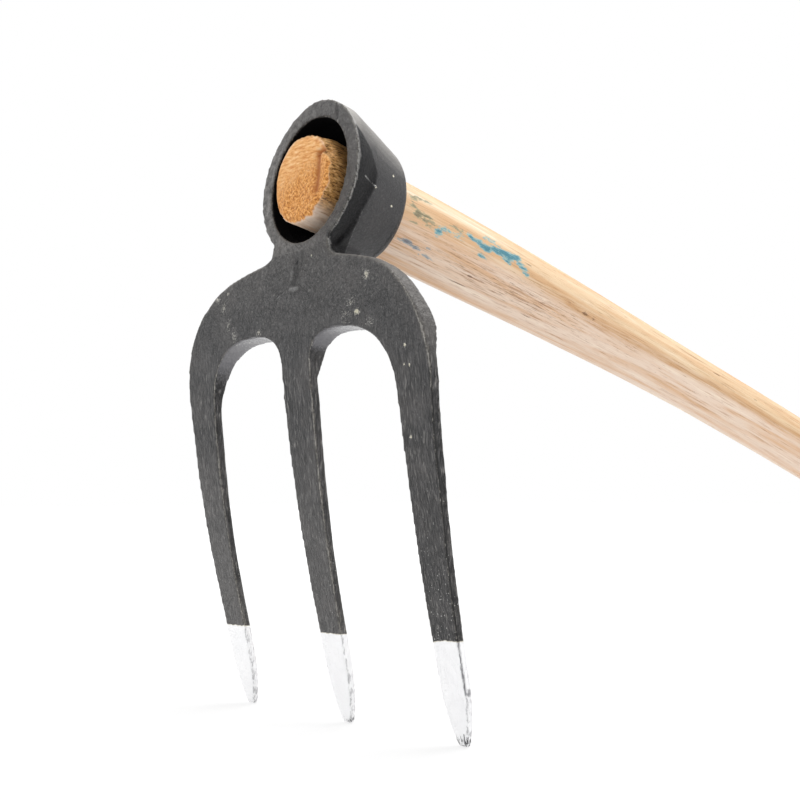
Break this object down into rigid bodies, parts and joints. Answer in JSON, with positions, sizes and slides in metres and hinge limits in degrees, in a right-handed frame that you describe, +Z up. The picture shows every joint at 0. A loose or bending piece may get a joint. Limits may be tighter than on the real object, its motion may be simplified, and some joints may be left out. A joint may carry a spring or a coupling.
{
  "type": "fork hoe",
  "caption": "Forged fork hoe with flat tapered tines, round shoulders and a round collar eye, on a short bowed wooden handle.",
  "frame": {"origin": "middle of the flat end of the middle tine, on the ground, with the tool standing on its tips and its butt", "axes": "X across the blade, +Y back along the handle, +Z up"},
  "size_m": [0.1696, 0.609, 0.2529],
  "materials": {
    "black_paint": "worn matt black paint on forged steel, tips dipped in silver-white paint",
    "hardwood": "pale bare hardwood, lengthwise grain, orange-tan sawn end"
  },
  "bodies": {
    "root": {"head": "black_paint", "handle": "hardwood"}
  },
  "joints": []
}
